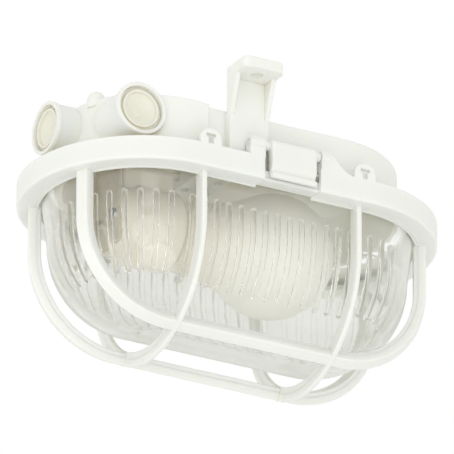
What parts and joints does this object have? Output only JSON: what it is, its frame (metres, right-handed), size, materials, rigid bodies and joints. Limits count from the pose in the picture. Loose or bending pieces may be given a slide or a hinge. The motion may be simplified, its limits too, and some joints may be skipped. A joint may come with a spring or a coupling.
{
  "type": "oval bulkhead light",
  "caption": "Oval bulkhead light for a wall or ceiling: ribbed glass bowl behind a hinged barred guard with a catch, housing with cable entries and screw feet.",
  "frame": {"origin": "on the plane of the mounting surface that the two feet rest on, at the middle of the oval guard", "axes": "+X along the oval, away from the end with the cable entry; +Z towards the mounting surface; -Y is the side with the catch"},
  "size_m": [0.21, 0.138, 0.1329],
  "materials": {
    "housing_plastic": "satin moulded",
    "guard_plastic": "satin moulded",
    "entry_plastic": "soft matt",
    "gasket_rubber": "matt",
    "clear_glass": "clear, ribbed inside",
    "steel_pin": "plain",
    "bracket_steel": "zinc plated",
    "screw_steel": "zinc plated",
    "frosted_bulb": "frosted, opal",
    "lamp_metal": "plain",
    "black_insulator": "glossy",
    "porcelain": "cream glaze",
    "brass_parts": "bright",
    "block_plastic": "moulded",
    "wire_sleeve": "heat-resistant woven sleeve"
  },
  "bodies": {
    "housing": {"base_housing": "housing_plastic", "end_entry_membrane": "entry_plastic", "side_entry_membrane": "entry_plastic", "gasket": "gasket_rubber", "holder_bracket": "bracket_steel", "bracket_screws": "screw_steel", "lampholder_body": "porcelain", "lampholder_shell": "brass_parts", "centre_contact": "brass_parts", "shell_contact": "brass_parts", "holder_terminals": "brass_parts", "holder_screws": "screw_steel", "lamp_bulb": "frosted_bulb", "lamp_cap": "lamp_metal", "lamp_insulator": "black_insulator", "lamp_contact": "brass_parts", "terminal_block": "block_plastic", "terminal_tubes": "brass_parts", "terminal_screws": "screw_steel", "block_screw": "screw_steel", "live_wire": "wire_sleeve", "neutral_wire": "wire_sleeve"},
    "guard": {"guard": "guard_plastic", "glass_bowl": "clear_glass", "hinge_pins": "steel_pin"},
    "catch": {"latch_lever": "guard_plastic"}
  },
  "joints": [
    {"name": "guard_hinge", "type": "hinge", "parent": "housing", "child": "guard", "pos_m": [0, 0.0605, -0.0405], "axis": [1, 0, 0], "range_deg": [0, 90]},
    {"name": "catch_pivot", "type": "hinge", "parent": "guard", "child": "catch", "pos_m": [0.0024, -0.0568, -0.0385], "axis": [-1, 0, 0], "range_deg": [0, 75]}
  ]
}
